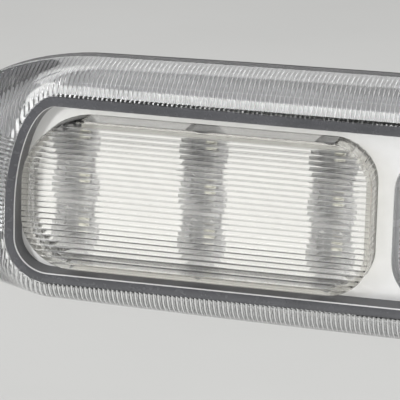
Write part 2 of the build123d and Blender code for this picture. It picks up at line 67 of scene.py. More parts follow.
# ---- the lens's shoulder: depth behind the face, margin at the ends, margin above and below,
# and the (half-width, half-height) of its top and bottom corners, in millimetres ----
SHOULDER = np.array([
    (0.0, 0.5, 0.5, 17, 36, 15, 15),
    (0.6, 2.6, 3.0, 19, 36, 17, 17),
    (1.8, 4.4, 5.0, 22, 36, 19, 19),
    (4.0, 6.4, 7.1, 27, 35, 20, 20),
    (7.5, 8.8, 8.9, 32, 34, 21, 20),
    (12.0, 17.0, 10.0, 44, 34, 26, 24),
    (18.0, 30.0, 10.8, 54, 35, 34, 28),
]) * MM
EDGE_BOW = 0.3
LENS_WALL = 2.0 * MM
FLUTE_PITCH = 1.45 * MM
FLUTE_DEPTH = 0.34 * MM
FLUTE_STEPS = 5
END_FLUTES = 21
FADE = 1.6 * MM
GAP = 0.06 * MM
POST_R = 7.0 * MM
COUNTERBORE_R = 5.8 * MM
SCREW_HOLE_R = 2.8 * MM
SMALLEST_MARGIN = 0.4 * MM

# ---- steps along an outline's corners, its top and bottom, and its ends, and how close points
# have to be to be joined ----
CORNER_STEPS = 28
SIDE_STEPS = 60
END_STEPS = 6
WELD = 1e-7


def eased(at, places, values):
    """Smooth curve through (places, values) that never overshoots."""
    step = np.diff(places)
    slope = np.diff(values) / step
    inner = np.where(
        slope[:-1] * slope[1:] > 0,
        2 * slope[:-1] * slope[1:] / np.where(slope[:-1] + slope[1:] == 0, 1, slope[:-1] + slope[1:]),
        0,
    )
    tangent = np.concatenate([[slope[0]], inner, [slope[-1]]])
    i = np.clip(np.searchsorted(places, at, side="right") - 1, 0, len(step) - 1)
    t = np.clip((at - places[i]) / step[i], 0, 1)
    rise = t * t * (3 - 2 * t)
    return (
        values[i] * (1 - rise)
        + values[i + 1] * rise
        + step[i] * (t * (1 - t) ** 2 * tangent[i] - t * t * (1 - t) * tangent[i + 1])
    )


def shoulder(depth, wall=0.0):
    """Half-length, half-height and corner sizes of the lens's section, or of its inside."""
    rows = SHOULDER.copy()
    rows[:, 0] += wall
    rows[:, 1:3] = np.maximum(rows[:, 1:3] - wall, SMALLEST_MARGIN)
    half_x, half_z, top_a, top_b, low_a, low_b = (
        eased(depth, rows[:, 0], rows[:, column]) for column in range(1, 7)
    )
    return half_x + WINDOW_X, half_z + WINDOW_Z, (top_a, top_b), (low_a, low_b)


def bent(points, wall=0.0):
    """Points of the lens, or of its inside, with the top and bottom edges curved in at the ends."""
    half_x, half_z = shoulder(points[..., 1] - FACE_Y, wall)[:2]
    drop = EDGE_BOW * (half_z - WINDOW_Z) * (points[..., 0] / half_x) ** 2
    made = points.copy()
    made[..., 2] *= 1 - drop / half_z
    return made


def bow(reach, radius, length):
    """How far a quarter ellipse has come in, at a reach past its start."""
    share = np.clip(reach / length, 0, 1)
    return radius * (1 - np.sqrt(1 - share * share))


def edge_x(z, half_x, half_z, top, low):
    """The outline's x at height z."""
    high_in = bow(z - (half_z - top[1]), top[0], top[1])
    low_in = bow(-z - (half_z - low[1]), low[0], low[1])
    return half_x - high_in - low_in


def edge_z(x, half_x, half_z, corner):
    """The outline's z at a distance x from the middle."""
    return half_z - bow(np.abs(x) - (half_x - corner[0]), corner[1], corner[0])


def loop(half_x, half_z, top, low):
    """Closed outline, as points that match from one size to the next."""
    turn = np.linspace(0, math.pi / 2, CORNER_STEPS + 1)
    corners = []
    for (a, b), side_x, side_z in ((top, 1, 1), (top, -1, 1), (low, -1, -1), (low, 1, -1)):
        angle = turn if side_x * side_z > 0 else turn[::-1]
        x = side_x * (half_x - a + a * np.cos(angle))
        z = side_z * (half_z - b + b * np.sin(angle))
        corners.append(np.stack([x, z], 1))
    points = []
    for index, corner in enumerate(corners):
        after = corners[(index + 1) % 4]
        steps = SIDE_STEPS if index % 2 == 0 else END_STEPS
        share = np.linspace(0, 1, steps + 1)[1:-1, None]
        points += [corner, corner[-1] + share * (after[0] - corner[-1])]
    return np.concatenate(points)


# ---- meshes ----
def grid_faces(index):
    """Quads over a rectangular table of vertex numbers."""
    corners = index[:-1, :-1], index[:-1, 1:], index[1:, 1:], index[1:, :-1]
    return np.stack([c.ravel() for c in corners], 1).tolist()


def ring_faces(index):
    """Quads between rows that each close on themselves."""
    return grid_faces(np.concatenate([index, index[:, :1]], 1))


def zip_faces(first, first_points, second, second_points):
    """Triangles between two closed loops round the Y axis with different numbers of points."""
    tables = []
    for numbers, points in ((first, first_points), (second, second_points)):
        angle = np.arctan2(points[:, 2] / WINDOW_Z, points[:, 0] / WINDOW_X)
        order = np.argsort(angle)
        tables.append((np.asarray(numbers)[order].tolist(), angle[order].tolist()))
    (a, a_angle), (b, b_angle) = tables
    a_angle.append(a_angle[0] + 2 * math.pi)
    b_angle.append(b_angle[0] + 2 * math.pi)
    faces = []
    i = j = 0
    while i < len(a) or j < len(b):
        if j == len(b) or (i < len(a) and a_angle[i + 1] <= b_angle[j + 1]):
            faces.append((a[i], a[(i + 1) % len(a)], b[j % len(b)]))
            i += 1
        else:
            faces.append((a[i % len(a)], b[(j + 1) % len(b)], b[j]))
            j += 1
    return faces


class Build:
    """Vertices and faces of one piece."""

    def __init__(self):
        self.points = []
        self.faces = []
        self.count = 0

    def add(self, points):
        """Puts a table of points in, and gives their numbers in the same table."""
        flat = points.reshape(-1, 3)
        numbers = np.arange(self.count, self.count + len(flat)).reshape(points.shape[:-1])
        self.points.append(flat)
        self.count += len(flat)
        return numbers

    def object(self, name, material, sharp=35):
        """The piece as a welded mesh, smooth except at edges sharper than an angle in degrees."""
        mesh = bpy.data.meshes.new(name)
        mesh.from_pydata(np.concatenate(self.points).tolist(), [], self.faces)
        work = bmesh.new()
        work.from_mesh(mesh)
        bmesh.ops.remove_doubles(work, verts=work.verts, dist=WELD)
        bmesh.ops.dissolve_degenerate(work, edges=work.edges, dist=WELD)
        bmesh.ops.recalc_face_normals(work, faces=work.faces)
        work.to_mesh(mesh)
        work.free()
        mesh.shade_smooth()
        mesh.set_sharp_from_angle(angle=math.radians(sharp))
        if material:
            mesh.materials.append(material)
        return placed(name, mesh)


def placed(name, data):
    """An object in the scene that holds a mesh, a light or a camera."""
    made = bpy.data.objects.new(name, data)
    bpy.context.scene.collection.objects.link(made)
    return made


def at_depth(flat, y):
    """Flat (x, z) points as places at depth y."""
    return np.stack([flat[:, 0], np.broadcast_to(y, len(flat)), flat[:, 1]], 1)


def rib(place):
    """Height of a rounded rib at a place across the flutes, from 0 in the valley to 1 on top."""
    across = place / FLUTE_PITCH - np.floor(place / FLUTE_PITCH + 1e-9)
    return 1 - (2 * across - 1) ** 2


def plain_edged(height):
    """A table of rib heights whose first and last rows are flat."""
    height = height.copy()
    height[[0, -1]] = 0
    return height


def pushed(points, height):
    """A table of points moved in towards the lamp, along its surface normal."""
    along = np.gradient(points, axis=0)
    across = np.gradient(points, axis=1)
    normal = np.cross(along, across)
    normal /= np.maximum(np.linalg.norm(normal, axis=2, keepdims=True), 1e-12)
    normal *= np.where(normal[..., 1:2] < 0, -1, 1)
    return points + normal * height[..., None]


# ---- the fluted outer lens ----
END_Z = END_FLUTES / 2 * FLUTE_PITCH
INSIDE_START = SHOULDER[0, 0] + LENS_WALL
INSIDE_END = SHOULDER[-1, 0] + LENS_WALL
OUTSIDE_DEPTHS = np.concatenate([[0.0], np.linspace(0.15, 18, 34), [21.0]]) * MM
LIP_DEPTH = 0.4 * MM
LIP_ROUND = 0.2 * MM
LIP_ROUND_DEPTH = 0.08 * MM
LENS_SHARP = 35
SEAM_STEPS = 4000
SIDE_ROWS = 17
SIDE_CROWDING = 1.4
SURFACE_STEPS = 400
TURN_STEPS = 64
WINDOW_TOP_CORNER = (16 * MM, 37 * MM)
WINDOW_LOW_CORNER = (14 * MM, 14 * MM)


def seam_columns():
    """Depths of the rows where the end flutes meet the upright ones, a step apart along X."""
    depth = np.linspace(INSIDE_START, INSIDE_END, SEAM_STEPS)
    x = edge_x(END_Z, *shoulder(depth, LENS_WALL))
    step = FLUTE_PITCH / FLUTE_STEPS
    stops = np.arange(math.ceil(x[0] / step), math.floor(x[-1] / step) + 1) * step
    return np.concatenate([[INSIDE_START], np.interp(stops[1:-1], x, depth), [INSIDE_END]])


def end_table(depths):
    """The fluted end of the lens's inside: a row for each depth, a column for each height."""
    z = np.linspace(-END_Z, END_Z, END_FLUTES * FLUTE_STEPS + 1)
    sections = shoulder(depths[:, None], LENS_WALL)
    x = edge_x(z[None, :], *sections)
    y = np.broadcast_to(FACE_Y + depths[:, None], x.shape)
    table = np.stack([x, y, np.broadcast_to(z, x.shape)], 2)
    return pushed(table, plain_edged(FLUTE_DEPTH * rib(np.broadcast_to(z + END_Z, x.shape))))


def side_table(depths, sign):
    """The fluted top (sign 1) or bottom (sign -1), with upright flutes along its whole length."""
    seam_x = edge_x(sign * END_Z, *shoulder(depths, LENS_WALL))
    step = FLUTE_PITCH / FLUTE_STEPS
    last = math.floor(seam_x[0] / step)
    middle = np.arange(-last, last + 1) * step
    x = np.concatenate([-seam_x[::-1], middle, seam_x])
    begin = np.concatenate([depths[::-1], np.full(len(middle), INSIDE_START), depths])
    share = np.linspace(0, 1, SIDE_ROWS)[:, None] ** SIDE_CROWDING
    depth = begin + share * (INSIDE_END - begin)
    half_x, half_z, top, low = shoulder(depth, LENS_WALL)
    z = sign * edge_z(x[None, :], half_x, half_z, top if sign > 0 else low)
    table = np.stack([np.broadcast_to(x, z.shape), FACE_Y + depth, z], 2)
    fade = np.clip((np.abs(z) - END_Z) / FADE, 0, 1)
    height = FLUTE_DEPTH * rib(table[..., 0]) * fade * fade * (3 - 2 * fade)
    return pushed(table, plain_edged(height)), len(depths)


def lens_inside(build):
    """Puts the fluted inside in, and gives its front and back edges, as numbers with places."""
    depths = seam_columns()
    right = end_table(depths)
    left = right * (-1, 1, 1)
    front, back = [], []
    for table in (right, left):
        numbers = build.add(bent(table, LENS_WALL))
        build.faces += grid_faces(numbers)
        front.append((numbers[0], table[0]))
        back.append((numbers[-1], table[-1]))
    for sign, column in ((1, -1), (-1, 0)):
        table, count = side_table(depths, sign)
        table[0, :count] = left[::-1, column]
        table[0, -count:] = right[:, column]
        numbers = build.add(bent(table, LENS_WALL))
        build.faces += grid_faces(numbers)
        inner = slice(count, -count)
        front.append((numbers[0, inner], table[0, inner]))
        back.append((numbers[-1, 1:-1], table[-1, 1:-1]))
    return front, back


def lens_outside(build):
    """Puts the smooth outside in, from the window's lip to the rear edge."""
    rows = []
    for depth in OUTSIDE_DEPTHS:
        rows.append(at_depth(loop(*shoulder(min(depth, SHOULDER[-1, 0]))), FACE_Y + depth))
    lip = at_depth(loop(*window_size(GAP)), FACE_Y + LIP_DEPTH)
    edge = at_depth(loop(*window_size(LIP_ROUND)), FACE_Y + LIP_ROUND_DEPTH)
    table = np.stack([lip, edge, *bent(np.stack(rows))])
    numbers = build.add(table)
    build.faces += ring_faces(numbers)
    return numbers, table


def lens_blank(material):
    """The lens as one closed shell, smooth outside and fluted inside."""
    build = Build()
    front, back = lens_inside(build)
    numbers, table = lens_outside(build)
    for found, row in ((front, 0), (back, -1)):
        joined = np.concatenate([pair[0] for pair in found])
        places = np.concatenate([pair[1] for pair in found])
        build.faces += zip_faces(joined, places, numbers[row], table[row])
    return build.object("outer_lens_clear", material)


def surface_y(x, z):
    """Depth of the lens's outside where a line along Y at (x, z) meets it."""
    depth = np.linspace(SHOULDER[0, 0], SHOULDER[-1, 0], SURFACE_STEPS)
    edge = edge_x(z, *shoulder(depth))
    return FACE_Y + np.interp(x, edge, depth)


def turned(name, x, profile):
    """Closed solid turned about a line along Y at x, from (radius, depth) pairs.

    A depth can be a function of x and z.
    """
    angle = np.linspace(0, 2 * math.pi, TURN_STEPS, endpoint=False)
    rows = []
    for radius, y in profile:
        across, up = x + radius * np.cos(angle), radius * np.sin(angle)
        depth = [y(*place) if callable(y) else y for place in zip(across, up)]
        rows.append(np.stack([across, depth, up], 1))
    build = Build()
    numbers = build.add(np.stack(rows))
    build.faces += ring_faces(numbers) + [numbers[0].tolist(), numbers[-1].tolist()]
    return build.object(name, None)


def carved(piece, additions, cuts):
    """The piece with solids joined to it and others cut away."""
    for tools, operation in ((additions, "UNION"), (cuts, "DIFFERENCE")):
        for tool in tools:
            change = piece.modifiers.new(tool.name, "BOOLEAN")
            change.operation = operation
            change.solver = "MANIFOLD"
            change.object = tool
    ready = piece.evaluated_get(bpy.context.evaluated_depsgraph_get())
    mesh = bpy.data.meshes.new_from_object(ready)
    piece.modifiers.clear()
    piece.data = mesh
    mesh.set_sharp_from_angle(angle=math.radians(LENS_SHARP))
    for tool in additions + cuts:
        bpy.data.objects.remove(tool)
    return piece


def outer_lens(material):
    """The fluted lens with its screw posts and their sunk holes."""
    def inside_wall(x, z):
        return surface_y(abs(x), z) + LENS_WALL / 2

    posts, holes = [], []
    for x in (-SCREW_X, SCREW_X):
        posts.append(turned("post", x, [
            (POST_R, LENS_BACK_Y),
            (POST_R, inside_wall),
            (POST_R / 2, inside_wall),
        ]))
        holes.append(turned("hole", x, [
            (SCREW_HOLE_R, LENS_BACK_Y + MM),
            (SCREW_HOLE_R, SCREW_SEAT_Y),
            (COUNTERBORE_R, SCREW_SEAT_Y),
            (COUNTERBORE_R, FACE_Y),
        ]))
    return carved(lens_blank(material), posts, holes)


def window_size(margin):
    """The window's outline, grown by a margin."""
    corners = [[size + margin for size in corner] for corner in (WINDOW_TOP_CORNER, WINDOW_LOW_CORNER)]
    return WINDOW_X + margin, WINDOW_Z + margin, *corners


# ---- the dark band round the window: distance from the window's edge, negative inside it, and
# depth behind the band's front, in millimetres, from the outer edge to the inner one ----
BAND_PROFILE = np.array([
    (-0.06, 0.5),
    (-0.12, 0.18),
    (-0.4, 0.0),
    (-2.5, 0.0),
    (-2.76, 0.05),
    (-2.94, 0.17),
    (-3.05, 0.36),
    (-3.16, 0.7),
]) * MM
BAND_FOOT = -3.95 * MM
BAND_SHARP = 40
STEEP = 0.7


def paint_inside(piece, highlight_material, wall_material):
    """Gives the band a painted highlight along its inner edge, and a greyer wall behind it.

    A face is steep when its normal has little of Y in it.
    """
    piece.data.materials.append(highlight_material)
    piece.data.materials.append(wall_material)
    edge_y = BAND_LOW.y + BAND_PROFILE[-1, 1]
    for face in piece.data.polygons:
        facing = face.normal.x * face.center.x + face.normal.z * face.center.z
        if facing < 0 and abs(face.normal.y) < STEEP:
            # Painted highlight on the faces of the inner edge; the wall behind them gets the third
            # material.
            face.material_index = 1 if face.center.y < edge_y else 2


def band(material, highlight_material, wall_material):
    """Ring with rounded edges, its inner wall sloping in towards the bezel."""
    profile = [(margin, BAND_LOW.y + depth) for margin, depth in BAND_PROFILE]
    profile = [(-GAP, FLOOR_Y), *profile, (BAND_FOOT, FLOOR_Y)]
    build = Build()
    rows = [at_depth(loop(*window_size(margin)), y) for margin, y in profile]
    build.faces += ring_faces(build.add(np.stack(rows + rows[:1])))
    piece = build.object("trim_band_gloss", material, BAND_SHARP)
    paint_inside(piece, highlight_material, wall_material)
    return piece


# ---- clear caps ----
CAP_FLANGE_W = 2.0 * MM
CAP_FLANGE_T = 1.5 * MM
CAP_WALL = 2.0 * MM
CAP_FRONT = 2.6 * MM
CAP_EDGE = 0.35 * MM
CAP_SHARP = 38
CAP_FLUTES = 27
FLUTE_SAMPLES = 18
PLAIN_SAMPLES = 6
END_SHARES = (0.0004, 0.0015, 0.0033, 0.0058)
FLUTE_R = 4.0 * MM
GROOVE_W = 0.24 * MM
GROOVE_DEPTH = 0.24 * MM
PILLOW_PITCH = 2.6 * MM
PILLOW_HEIGHT = 0.3 * MM
PILLOW_COLUMNS = 220
EVEN_CORNERS = (13, 13)
CARGO_LEFT_CORNERS = (21, 16)


def cap_limits(low, high, left_corners, right_corners):
    """Gives a function for the cap's left and right edges, and the cap's half-height.

    Corners are (top, bottom) radii in millimetres.
    """
    left_x, right_x = low.x + CAP_FLANGE_W, high.x - CAP_FLANGE_W
    tall = high.z - CAP_FLANGE_W

    def limits(u, margin):
        half_z = tall + margin
        z = u * half_z
        edges = []
        for top, bottom in (left_corners, right_corners):
            top_r, low_r = top * MM + margin, bottom * MM + margin
            bend = bow(z - (half_z - top_r), top_r, top_r) + bow(-z - (half_z - low_r), low_r, low_r)
            edges.append(bend)
        return z, left_x - margin + edges[0], right_x + margin - edges[1]

    return limits, tall


def cap_loop(limits, u, margin, y):
    """One section of a cap: down its left edge and up its right one."""
    z, left, right = limits(u, margin)
    y = np.broadcast_to(y, z.shape)
    down = np.stack([left, y, z], 1)[::-1]
    up = np.stack([right, y, z], 1)
    return np.concatenate([down, up])


def cap_face(build, numbers, points, columns, height):
    """Closes a section with a face whose points can stand proud of it."""
    count = len(points) // 2
    left, right = points[:count][::-1], points[count:]
    left_numbers, right_numbers = numbers[:count][::-1], numbers[count:]
    if columns == 2:
        table = np.stack([left_numbers, right_numbers], 1)
    else:
        share = np.linspace(0, 1, columns)[None, 1:-1, None]
        inner = left[1:-1, None] + share * (right - left)[1:-1, None]
        inner[..., 1] += height(inner[..., 0], inner[..., 2])
        middle = build.add(inner)
        table = np.concatenate([left_numbers[1:-1, None], middle, right_numbers[1:-1, None]], 1)
        for end, row in ((0, table[0]), (-1, table[-1])):
            build.faces.append([left_numbers[end], right_numbers[end], *row[::-1]])
    build.faces += grid_faces(table)


def cap_heights(samples):
    """Heights across a cap as shares of its half-height, closer together at the ends."""
    u = np.linspace(-1, 1, CAP_FLUTES * samples + 1)
    near = 1 - np.array(END_SHARES)
    return np.unique(np.concatenate([u, near, -near]))


def flute_sag(offset, half_pitch):
    """How far a flute lies back: a shallow round crest with a narrow groove at each side."""
    crest = FLUTE_R - np.sqrt(FLUTE_R**2 - offset**2)
    groove = np.clip(1 - (half_pitch - np.abs(offset)) / GROOVE_W, 0, 1)
    return crest + GROOVE_DEPTH * groove


def cap_sag(u, tall):
    """How far each height of a fluted cap's front lies back."""
    across = (u + 1) / 2 * CAP_FLUTES
    inside = np.minimum(across, CAP_FLUTES - 1e-6)
    offset = (across - np.floor(inside) - 0.5) * 2 * tall / CAP_FLUTES
    return flute_sag(offset, tall / CAP_FLUTES)


def cap(name, box, left_corners, right_corners, flutes, columns, height, material):
    """A clear cap: front plate, side walls and the flange behind the bezel."""
    low, high = box
    limits, tall = cap_limits(low, high, left_corners, right_corners)
    u = cap_heights(FLUTE_SAMPLES if flutes else PLAIN_SAMPLES)
    sag = cap_sag(u, tall) if flutes else np.zeros_like(u)
    both = np.concatenate([sag[::-1], sag])
    front_y, back_y = low.y, high.y
    flange_y = back_y - CAP_FLANGE_T
    sections = [
        cap_loop(limits, u, -CAP_EDGE, 0) + np.stack([0 * both, front_y + both, 0 * both], 1),
        cap_loop(limits, u, 0, front_y + CAP_EDGE + CAP_EDGE),
        cap_loop(limits, u, 0, flange_y),
        cap_loop(limits, u, CAP_FLANGE_W, flange_y),
        cap_loop(limits, u, CAP_FLANGE_W, back_y),
        cap_loop(limits, u, -CAP_WALL, back_y),
        cap_loop(limits, u, -CAP_WALL, front_y + CAP_FRONT),
    ]
    build = Build()
    table = np.stack(sections)
    numbers = build.add(table)
    build.faces += ring_faces(numbers)
    cap_face(build, numbers[0], table[0], 2, None)
    cap_face(build, numbers[-1], table[-1], columns, height)
    return build.object(name, material, CAP_SHARP)


def pillows(x, z):
    """Inner optics of the brake lens: crossed waves that stand in from its back."""
    wave = np.sin(math.pi * (x + z) / PILLOW_PITCH) * np.sin(math.pi * (x - z) / PILLOW_PITCH)
    return PILLOW_HEIGHT * wave * wave


# ---- materials: short names for the nodes that repeat, then the looks ----
def node(tree, kind, inputs=None, **settings):
    made = tree.nodes.new(kind)
    for key, value in settings.items():
        setattr(made, key, value)
    for key, value in (inputs or {}).items():
        if isinstance(value, bpy.types.NodeSocket):
            tree.links.new(value, made.inputs[key])
        else:
            made.inputs[key].default_value = value
    return made


def new_look(name):
    made = bpy.data.materials.new(name)
    made.use_nodes = True
    made.node_tree.nodes.clear()
    return made, made.node_tree


def close(tree, shader):
    node(tree, "ShaderNodeOutputMaterial", {"Surface": shader})


def coords(tree):
    return node(tree, "ShaderNodeTexCoord").outputs["Object"]


def split_coords(tree):
    """The place on the part, as its X, Y and Z."""
    return node(tree, "ShaderNodeSeparateXYZ", {"Vector": coords(tree)}).outputs


def noise(tree, scale, detail=4.0):
    sockets = {"Vector": coords(tree), "Scale": scale, "Detail": detail}
    return node(tree, "ShaderNodeTexNoise", sockets).outputs[0]


def spread(tree, value, low, high, start=0.3, stop=0.7):
    sockets = {"Value": value, "From Min": start, "From Max": stop, "To Min": low, "To Max": high}
    return node(tree, "ShaderNodeMapRange", sockets).outputs[0]


def tones(tree, value, first, second, start=0.3, stop=0.7):
    ramp = node(tree, "ShaderNodeValToRGB", {"Fac": value})
    for element, position, colour in zip(ramp.color_ramp.elements, (start, stop), (first, second)):
        element.position = position
        element.color = (*colour, 1)
    return ramp.outputs[0]


def bump(tree, height, distance, strength=1.0):
    sockets = {"Height": height, "Distance": distance, "Strength": strength}
    return node(tree, "ShaderNodeBump", sockets).outputs[0]


def flute_wave(tree):
    """1 in the valleys between a cap's flutes and 0 on their crests."""
    pitch = 2 * (CARGO_HIGH.z - CAP_FLANGE_W) / CAP_FLUTES
    sockets = {"Vector": coords(tree), "Scale": 2 * math.pi / 20 / pitch, "Distortion": 0.0}
    settings = {"wave_type": "BANDS", "bands_direction": "Z", "wave_profile": "SIN"}
    return node(tree, "ShaderNodeTexWave", sockets, **settings).outputs["Fac"]


def lamp_lit(tree, glass, tint):
    """Glass that lets the light of lamps and lit surfaces through, as the real part does."""
    through = node(tree, "ShaderNodeBsdfTransparent", {"Color": tint}).outputs[0]
    rays = node(tree, "ShaderNodeLightPath").outputs
    for kind in ("Is Shadow Ray", "Is Diffuse Ray"):
        glass = node(tree, "ShaderNodeMixShader", {0: rays[kind], 1: glass, 2: through}).outputs[0]
    return glass


def clear_plastic(name, rough, fluted=False):
    """Clear moulded plastic. A fluted cap has painted shade along its valleys, and painted shadow
    stripes under them.
    """
    made, tree = new_look(name)
    if fluted:
        wave = flute_wave(tree)
        # Painted shade: the cap's colour turns dark grey along each valley of its flutes.
        colour = tones(tree, wave, (0.98, 0.985, 0.985), (0.42, 0.42, 0.43), 0.86, 0.99)
        # Painted shadow stripes: lamp light through the cap is dimmed more under the valleys.
        tint = tones(tree, wave, (0.955, 0.95, 0.93), (0.78, 0.772, 0.748), 0.3, 0.9)
    else:
        colour = tones(tree, noise(tree, 60), (0.965, 0.97, 0.975), (0.985, 0.99, 0.99))
        tint = tones(tree, noise(tree, 200), (0.93, 0.93, 0.93), (0.98, 0.98, 0.98))
    glass = node(tree, "ShaderNodeBsdfPrincipled", {
        "Base Color": colour,
        "Roughness": spread(tree, noise(tree, 900), rough, rough * 2.2),
        "Normal": bump(tree, noise(tree, 140, 2), 0.02 * MM, 0.5),
        "IOR": 1.49,
        "Transmission Weight": 1.0,
    })
    close(tree, lamp_lit(tree, glass.outputs[0], tint))
    return made


def moulded(name, first, second, rough, scale, lift, metallic):
    """Moulded, painted or plated surface with fine grain and slight changes of tone."""
    made, tree = new_look(name)
    shader = node(tree, "ShaderNodeBsdfPrincipled", {
        "Base Color": tones(tree, noise(tree, scale / 6), first, second),
        "Roughness": spread(tree, noise(tree, scale), rough[0], rough[1]),
        "Normal": bump(tree, noise(tree, scale, 6), lift * MM),
        "Metallic": metallic,
    })
    close(tree, shader.outputs[0])
    return made


# ---- where each change of paint and of painted shade starts and ends, and the pitch of the wells ----
# The bezel's skirt under the lens gets painted shade between these depths.
SKIRT_SHADE_FROM, SKIRT_SHADE_FULL = 0.3 * MM, 1.2 * MM
WELL_FROM, WELL_FULL = 0.02 * MM, 0.1 * MM
# Painted shade on the tops of the wells, from these heights up.
SHADE_FROM, SHADE_FULL = 16.6 * MM, 18.2 * MM
WEB_FULL, WEB_TO = 5.7 * MM, 6.5 * MM
COLUMN_FULL, COLUMN_TO = 14 * MM, 15 * MM
DOME_FULL, DOME_TO = 1.3 * MM, 1.5 * MM
WELL_PITCH_X = 40.0 * MM


def silver_bezel(name):
    """Satin silver face, with a darker grey skirt under the lens as painted shade."""
    made, tree = new_look(name)
    # Painted shade: the skirt takes the darker grey of the second shader.
    behind = spread(tree, split_coords(tree)["Y"], 0, 1, FLOOR_Y + SKIRT_SHADE_FROM, FLOOR_Y + SKIRT_SHADE_FULL)
    shaders = [
        node(tree, "ShaderNodeBsdfPrincipled", {
            "Base Color": tones(tree, noise(tree, 180), first, second),
            "Roughness": spread(tree, noise(tree, 1400), rough, rough + 0.12),
            "Normal": bump(tree, noise(tree, 1400, 6), 0.01 * MM),
            "Metallic": metallic,
        }).outputs[0]
        for first, second, rough, metallic in (
            ((0.6, 0.6, 0.595), (0.64, 0.64, 0.635), 0.36, 0.15),
            ((0.27, 0.27, 0.275), (0.33, 0.33, 0.335), 0.3, 0.4),
        )
    ]
    mix = node(tree, "ShaderNodeMixShader", {0: behind, 1: shaders[0], 2: shaders[1]})
    close(tree, mix.outputs[0])
    return made


def blended(tree, share, first, second):
    sockets = {"Factor": share, "A": first, "B": second}
    return node(tree, "ShaderNodeMix", sockets, data_type="RGBA").outputs[2]


def maths(tree, operation, first, second=0.0):
    return node(tree, "ShaderNodeMath", {0: first, 1: second}, operation=operation).outputs[0]


def column_strip(tree, place):
    """1 on the webs between the wells of a column, and 0 elsewhere on the plate's face."""
    middle = -(CARGO_LOW.x + CARGO_HIGH.x) / 2
    across = maths(tree, "SUBTRACT", maths(tree, "ABSOLUTE", place["X"]), middle)
    across = maths(tree, "PINGPONG", across, WELL_PITCH_X / 2)
    up = maths(tree, "ABSOLUTE", place["Z"])
    near = spread(tree, across, 1, 0, WEB_FULL, WEB_TO)
    return maths(tree, "MULTIPLY", near, spread(tree, up, 1, 0, COLUMN_FULL, COLUMN_TO))


def well_plate(name):
    """White lacquered plate with grey webs between silver wells, with painted shade on the wells'
    tops, which the bezel hides from the light.
    """
    made, tree = new_look(name)
    split = split_coords(tree)
    inside = spread(tree, split["Y"], 0, 1, WELLS_LOW.y + WELL_FROM, WELLS_LOW.y + WELL_FULL)
    # Painted shade: near black on the wells' tops, where the bezel hides them from the light.
    shaded = spread(tree, split["Z"], 0, 1, SHADE_FROM, SHADE_FULL)
    silver = tones(tree, noise(tree, 300), (0.82, 0.82, 0.83), (0.9, 0.9, 0.91))
    dark = tones(tree, noise(tree, 200), (0.01, 0.01, 0.011), (0.02, 0.02, 0.021))
    cup = blended(tree, shaded, silver, dark)
    plain = tones(tree, noise(tree, 90), (0.76, 0.76, 0.76), (0.8, 0.8, 0.8))
    grey = tones(tree, noise(tree, 300), (0.24, 0.24, 0.245), (0.3, 0.3, 0.305))
    white = blended(tree, column_strip(tree, split), plain, grey)
    shaders = [
        node(tree, "ShaderNodeBsdfPrincipled", {
            "Base Color": colour,
            "Roughness": spread(tree, noise(tree, 900), rough, rough + 0.12),
            "Normal": bump(tree, noise(tree, 500), 0.02 * MM),
        }).outputs[0]
        for colour, rough in ((white, 0.3), (cup, 0.22))
    ]
    mix = node(tree, "ShaderNodeMixShader", {0: inside, 1: shaders[0], 2: shaders[1]})
    close(tree, mix.outputs[0])
    return made


def circuit(name):
    """Circuit board: grey lacquer, a little lighter along its rows of tracks."""
    made, tree = new_look(name)
    brick = node(tree, "ShaderNodeTexBrick", {
        "Vector": coords(tree),
        "Scale": 160.0,
        "Mortar Size": 0.06,
        "Color1": (0.42, 0.422, 0.427, 1),
        "Color2": (0.46, 0.462, 0.467, 1),
        "Mortar": (0.52, 0.52, 0.525, 1),
    }).outputs["Color"]
    shader = node(tree, "ShaderNodeBsdfPrincipled", {
        "Base Color": brick,
        "Roughness": spread(tree, noise(tree, 600), 0.28, 0.42),
        "Normal": bump(tree, noise(tree, 800), 0.03 * MM),
        "Coat Weight": 0.3,
    })
    close(tree, shader.outputs[0])
    return made


def led_chip(name):
    """LED package: white body with a pale phosphor under its dome."""
    made, tree = new_look(name)
    depth = split_coords(tree)["Y"]
    raised = spread(tree, depth, 1, 0, LEDS_LOW.y + DOME_FULL, LEDS_LOW.y + DOME_TO)
    shader = node(tree, "ShaderNodeBsdfPrincipled", {
        "Base Color": tones(tree, raised, (0.62, 0.62, 0.61), (0.66, 0.65, 0.58), 0.4, 0.6),
        "Roughness": spread(tree, noise(tree, 1500), 0.2, 0.35),
        "Normal": bump(tree, noise(tree, 2000), 0.01 * MM),
    })
    close(tree, shader.outputs[0])
    return made


def red_glass(name):
    """The brake bulbs' red glass."""
    made, tree = new_look(name)
    glass = node(tree, "ShaderNodeBsdfPrincipled", {
        "Base Color": tones(tree, noise(tree, 120), (0.72, 0.02, 0.015), (0.85, 0.035, 0.02)),
        "Roughness": spread(tree, noise(tree, 700), 0.03, 0.09),
        "Normal": bump(tree, noise(tree, 250), 0.02 * MM),
        "IOR": 1.5,
        "Transmission Weight": 0.85,
    })
    close(tree, lamp_lit(tree, glass.outputs[0], (0.85, 0.06, 0.04, 1)))
    return made


